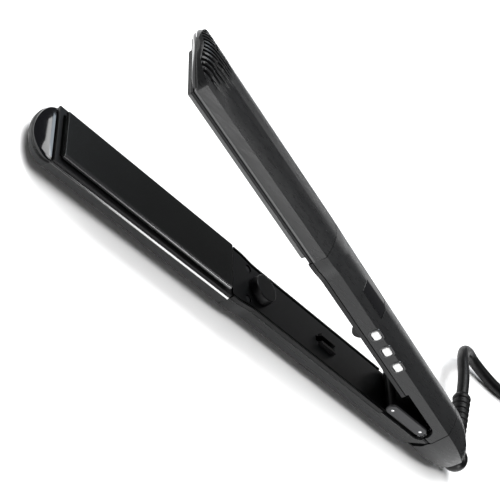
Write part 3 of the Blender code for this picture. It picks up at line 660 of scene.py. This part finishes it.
def polish_rim(node, arm, looks):
    """The inner edge of a cover, polished brighter than its brushed sides."""
    piece = refined_pieces[node]
    piece.data.materials.append(looks["rim"].material)
    back = arm.inverted()
    points = [back @ (vertex.co / MM) for vertex in piece.data.vertices]
    for face in piece.data.polygons:
        corners = [points[i] for i in face.vertices]
        if all(c.z < RIM_TOP_H + 0.4 and abs(c.y) > HANDLE_HALF - 2.0 for c in corners):
            face.material_index = 1


BUTTON_US = {"power": 86.5, "plus": 73.5, "minus": 60.4}
BUTTON_H, BUTTON_LONG, BUTTON_TALL = 9.0, 5.8, 3.7


def rounded_outline(long_side, tall_side, radius, steps=6):
    """A rounded rectangle as (along, up) points."""
    points = []
    corners = ((1, 1, 0), (-1, 1, 90), (-1, -1, 180), (1, -1, 270))
    for side_a, side_b, first in corners:
        centre_a = side_a * (long_side / 2.0 - radius)
        centre_b = side_b * (tall_side / 2.0 - radius)
        for step in range(steps + 1):
            angle = math.radians(first + 90.0 * step / steps)
            points.append((centre_a + radius * math.cos(angle), centre_b + radius * math.sin(angle)))
    return points


def polish_plate_edges(node, arm, looks):
    """The plate's rounded long edges, which catch the light."""
    piece = refined_pieces[node]
    piece.data.materials.append(looks["rim"].material)
    back = arm.inverted()
    for face in piece.data.polygons:
        spot = back @ (face.center / MM)
        if abs(spot.y) > PLATE_EDGE_Y:
            face.material_index = 1


def smooth_cap(node, arm, body, looks):
    """The glossy cap as one finely curved dome, in place of the CAD's stepped one."""
    edge_u, cap_half, reach, cap_h, end_h = 256.9, 15.35, 7.3, 4.45, 8.6
    slope = 0.21
    curl = (end_h - cap_h - slope * reach) / reach ** 2.5
    profile = ((1.0, 0.0), (0.995, 0.35), (0.975, 0.68), (0.94, 0.90), (0.88, 1.0), (0.44, 1.0))
    bm = bmesh.new()
    loops = []
    for degrees in range(0, 87, 2):
        angle = math.radians(degrees)
        run = reach * math.sin(angle)
        half = cap_half * math.cos(angle)
        u = edge_u + run
        foot = 4.3 if u < TIP_ROUND_U else 5.3 + 3.9 * (u - TIP_ROUND_U) / (TIP_U - TIP_ROUND_U)
        face = cap_h + slope * run + curl * run ** 2.5
        side = [(half * wide, foot + (face - foot) * rise) for wide, rise in profile]
        ring = side + [(0.0, face)] + [(-y, h) for y, h in reversed(side)]
        loops.append([bm.verts.new((arm @ Vector((-u, y, h))) * MM) for y, h in ring])
    bridge(bm, loops)
    close_ends(bm, loops)
    cap = as_object(f"{node}_dome", bm, 50.0)
    dress(cap, looks["gloss"])
    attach(cap, body)
    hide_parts(node)
    refined_pieces[node] = cap


def button_surrounds(looks):
    """A thin black rim round each button's hole, seated on the side facet."""
    foot_h, top_h = 1.2, ARM_DEPTH * 0.69
    lean = HANDLE_HALF * 0.075 / (top_h - foot_h)
    outward = Vector((0.0, -1.0, lean)).normalized()
    up = Vector((0.0, outward.z, -outward.y))
    base = Vector((0.0, -(HANDLE_HALF - lean * (BUTTON_H - foot_h)), BUTTON_H))
    section = ((0.34, -0.3), (0.34, 0.10), (0.55, 0.16), (1.15, 0.16), (1.35, 0.02), (1.35, -0.3))
    for name, u in BUTTON_US.items():
        rings = []
        for grow, reach in section:
            outline = rounded_outline(BUTTON_LONG + 2 * grow, BUTTON_TALL + 2 * grow, 1.3 + grow)
            foot = base + outward * reach
            rings.append([foot + Vector((-u + a, 0.0, 0.0)) + up * b for a, b in outline])
        bm = bmesh.new()
        loops = [[bm.verts.new((CONTROL @ spot) * MM) for spot in ring] for ring in rings]
        bridge(bm, loops + loops[:1])
        rim = as_object(f"{name}_surround", bm)
        dress(rim, looks["gloss"])
        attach(rim, "control_arm")


def badge_studs(looks):
    """Two domed studs near the ends of each side badge."""
    profile = ((0.85, 12.6), (0.85, 12.98), (0.7, 13.1), (0.4, 13.18))    # (radius, distance out)
    stud_h, sides = -1.7, 20
    for side_name, side in (("near", 1.0), ("far", -1.0)):
        for place, u in (("front", 31.2), ("rear", 8.2)):
            bm = bmesh.new()
            loops = []
            for radius, y in profile:
                ring = []
                for step in range(sides):
                    angle = 2.0 * math.pi * step / sides
                    x, z = -u + radius * math.cos(angle), stud_h + radius * math.sin(angle)
                    ring.append(bm.verts.new((LOWER @ Vector((x, side * y, z))) * MM))
                loops.append(ring)
            bridge(bm, loops)
            close_ends(bm, loops)
            stud = as_object(f"{side_name}_{place}_stud", bm)
            dress(stud, looks["steel"])
            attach(stud, "lower_arm")


def dress_the_rest(looks):
    """The nodes that keep their CAD shape, with their own finish."""
    for name, node in frame["nodes"].items():
        if name not in refined_pieces and name not in ("cord_lead", "cord_coil"):
            dress(node, looks[slot_of_node(name)])


# ---- Floor and light ----
WHITE = (1.0, 1.0, 1.0)
FLOOR_REACH, FLOOR_Z = 6.0, -0.0002     # in metres, and just under the iron
LIGHT_TARGET = Vector((0.0, 0.0, 0.02))
LIGHTS = (      # (name, place in metres, size in metres, watts, colour)
    ("key", (-0.60, 1.70, 3.40), 2.6, 140.0, WHITE),
    ("top", (-0.90, -0.40, 3.40), 2.7, 112.0, WHITE),
    ("cap_glow", (0.36, 1.36, 1.50), 0.6, 6.0, (0.80, 0.90, 1.0)),
    ("low_back", (1.15, 1.05, 0.32), 0.36, 0.38, WHITE),
    ("low_near", (0.75, -1.05, 0.17), 0.36, 5.0, WHITE),
    ("edge", (0.93, -0.10, 1.28), 0.4, 4.5, WHITE),
)


def make_stage():
    bm = bmesh.new()
    ends = ((-1.0, -1.0), (1.0, -1.0), (1.0, 1.0), (-1.0, 1.0))
    bm.faces.new([bm.verts.new((x * FLOOR_REACH, y * FLOOR_REACH, FLOOR_Z)) for x, y in ends])
    floor = as_object("floor", bm)
    paper = Look("pale_floor", (0.93, 0.93, 0.93), 0.75)
    paper.vary_roughness(paper.noise(30.0), 0.05)
    paper.bump(paper.noise(800.0, 2.0), 0.02, 0.0001)
    dress(floor, paper)

    world = bpy.data.worlds.new("studio")
    world.use_nodes = True
    background = world.node_tree.nodes["Background"]
    background.inputs["Color"].default_value = (*WHITE, 1.0)
    background.inputs["Strength"].default_value = 0.11
    bpy.context.scene.world = world
    bpy.context.scene.view_settings.view_transform = "Standard"

    for name, place, size, power, colour in LIGHTS:
        data = bpy.data.lights.new(name, "AREA")
        data.energy = power
        data.size = size
        data.color = colour
        light = bpy.data.objects.new(name, data)
        light.location = place
        direction = Vector(place) - LIGHT_TARGET
        light.rotation_euler = direction.to_track_quat("Z", "Y").to_euler()
        bpy.context.scene.collection.objects.link(light)


make_camera()
looks = make_looks()
refine_all(looks)
make_cord(looks)
for covered in ("lower_barrel_cover", "lower_handle_cover"):
    polish_rim(covered, LOWER, looks)
polish_rim("control_barrel_cover", CONTROL, looks)
polish_plate_edges("lower_plate", LOWER, looks)
polish_plate_edges("control_plate", CONTROL, looks)
smooth_cap("lower_tip_cap", LOWER, "lower_arm", looks)
smooth_cap("control_tip_cap", CONTROL, "control_arm", looks)
button_surrounds(looks)
badge_studs(looks)
dress_the_rest(looks)
make_stage()
